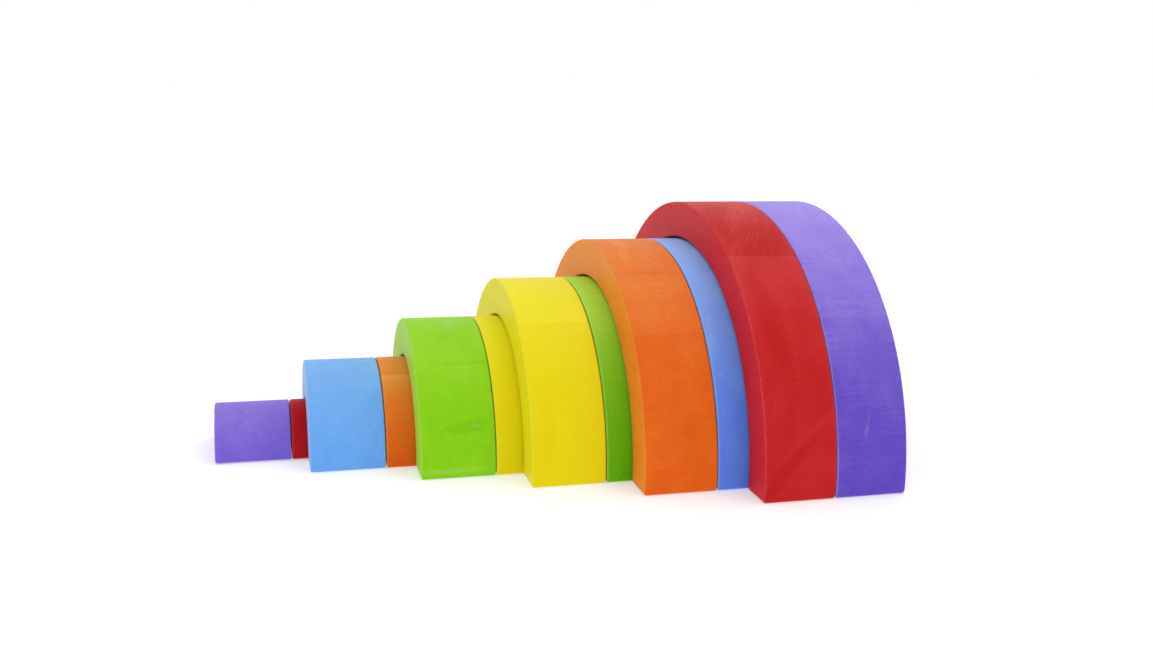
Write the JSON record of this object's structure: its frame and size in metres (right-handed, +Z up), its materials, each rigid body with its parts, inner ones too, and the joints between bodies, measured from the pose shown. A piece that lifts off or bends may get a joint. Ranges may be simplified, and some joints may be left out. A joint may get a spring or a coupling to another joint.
{
  "type": "wooden nesting arch stacker",
  "caption": "Wooden stacking toy: half-rounds and semicircular arches that nest like rainbows, stood in a telescoping row.",
  "frame": {"origin": "on the table, at the middle of the row's box", "axes": "+X along the row from the smallest pair to the largest, +Y across the arches from foot to foot, +Z up"},
  "size_m": [0.3496, 0.272, 0.136],
  "materials": {
    "purple_half_round_size_1_stain": "satin water-based stain over open wood grain",
    "red_half_round_size_1_stain": "satin water-based stain over open wood grain",
    "light_blue_arch_size_2_stain": "satin water-based stain over open wood grain",
    "orange_arch_size_2_stain": "satin water-based stain over open wood grain",
    "green_arch_size_3_stain": "satin water-based stain over open wood grain",
    "yellow_arch_size_3_stain": "satin water-based stain over open wood grain",
    "yellow_arch_size_4_stain": "satin water-based stain over open wood grain",
    "green_arch_size_4_stain": "satin water-based stain over open wood grain",
    "orange_arch_size_5_stain": "satin water-based stain over open wood grain",
    "blue_arch_size_5_stain": "satin water-based stain over open wood grain",
    "red_arch_size_6_stain": "satin water-based stain over open wood grain",
    "purple_arch_size_6_stain": "satin water-based stain over open wood grain"
  },
  "bodies": {
    "purple_half_round_size_1": {"purple_half_round_size_1": "purple_half_round_size_1_stain"},
    "red_half_round_size_1": {"red_half_round_size_1": "red_half_round_size_1_stain"},
    "light_blue_arch_size_2": {"light_blue_arch_size_2": "light_blue_arch_size_2_stain"},
    "orange_arch_size_2": {"orange_arch_size_2": "orange_arch_size_2_stain"},
    "green_arch_size_3": {"green_arch_size_3": "green_arch_size_3_stain"},
    "yellow_arch_size_3": {"yellow_arch_size_3": "yellow_arch_size_3_stain"},
    "yellow_arch_size_4": {"yellow_arch_size_4": "yellow_arch_size_4_stain"},
    "green_arch_size_4": {"green_arch_size_4": "green_arch_size_4_stain"},
    "orange_arch_size_5": {"orange_arch_size_5": "orange_arch_size_5_stain"},
    "blue_arch_size_5": {"blue_arch_size_5": "blue_arch_size_5_stain"},
    "red_arch_size_6": {"red_arch_size_6": "red_arch_size_6_stain"},
    "purple_arch_size_6": {"purple_arch_size_6": "purple_arch_size_6_stain"}
  },
  "joints": [
    {"name": "red_arch_size_6_slide", "type": "slide", "parent": "purple_arch_size_6", "child": "red_arch_size_6", "axis": [1, 0, 0], "range_m": [-0.04, 0]},
    {"name": "blue_arch_size_5_slide", "type": "slide", "parent": "red_arch_size_6", "child": "blue_arch_size_5", "axis": [1, 0, 0], "range_m": [-0.04, 0.0566]},
    {"name": "orange_arch_size_5_slide", "type": "slide", "parent": "blue_arch_size_5", "child": "orange_arch_size_5", "axis": [1, 0, 0], "range_m": [-0.04, 0]},
    {"name": "green_arch_size_4_slide", "type": "slide", "parent": "orange_arch_size_5", "child": "green_arch_size_4", "axis": [1, 0, 0], "range_m": [-0.04, 0.0537]},
    {"name": "yellow_arch_size_4_slide", "type": "slide", "parent": "green_arch_size_4", "child": "yellow_arch_size_4", "axis": [1, 0, 0], "range_m": [-0.04, 0]},
    {"name": "yellow_arch_size_3_slide", "type": "slide", "parent": "yellow_arch_size_4", "child": "yellow_arch_size_3", "axis": [1, 0, 0], "range_m": [-0.04, 0.0545]},
    {"name": "green_arch_size_3_slide", "type": "slide", "parent": "yellow_arch_size_3", "child": "green_arch_size_3", "axis": [1, 0, 0], "range_m": [-0.04, 0]},
    {"name": "orange_arch_size_2_slide", "type": "slide", "parent": "green_arch_size_3", "child": "orange_arch_size_2", "axis": [1, 0, 0], "range_m": [-0.04, 0.0557]},
    {"name": "light_blue_arch_size_2_slide", "type": "slide", "parent": "orange_arch_size_2", "child": "light_blue_arch_size_2", "axis": [1, 0, 0], "range_m": [-0.04, 0]},
    {"name": "red_half_round_size_1_slide", "type": "slide", "parent": "light_blue_arch_size_2", "child": "red_half_round_size_1", "axis": [1, 0, 0], "range_m": [-0.04, 0.0487]},
    {"name": "purple_half_round_size_1_slide", "type": "slide", "parent": "red_half_round_size_1", "child": "purple_half_round_size_1", "axis": [1, 0, 0], "range_m": [-0.04, 0]}
  ]
}
